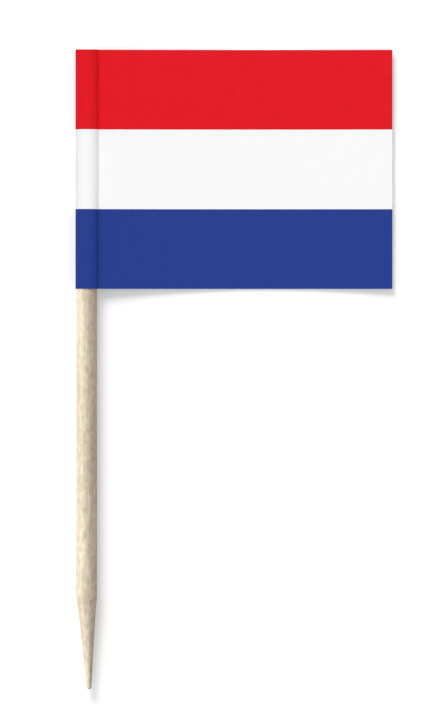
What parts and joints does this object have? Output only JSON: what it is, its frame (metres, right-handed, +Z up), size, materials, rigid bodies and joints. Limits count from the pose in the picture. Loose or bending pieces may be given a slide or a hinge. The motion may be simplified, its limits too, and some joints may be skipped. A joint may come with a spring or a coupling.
{
  "type": "flag toothpick",
  "caption": "Round wooden food pick with a ground point and a red, white and blue striped paper flag folded and glued round its blunt end.",
  "frame": {"origin": "on the table the part lies on, under the middle of its outline seen from above", "axes": "+Y along the pick from its point to its blunt end, +X from the pick towards the flag's free edge, +Z up from the table"},
  "size_m": [0.0398, 0.0802, 0.0028],
  "materials": {
    "birch": "raw, fine sanded, with a fine straight grain",
    "paper": "smooth white, matt",
    "red_ink": "printed, matt",
    "blue_ink": "printed, matt"
  },
  "bodies": {
    "root": {"pick": "birch", "paper_flag": "paper", "red_print": "red_ink", "blue_print": "blue_ink"}
  },
  "joints": []
}
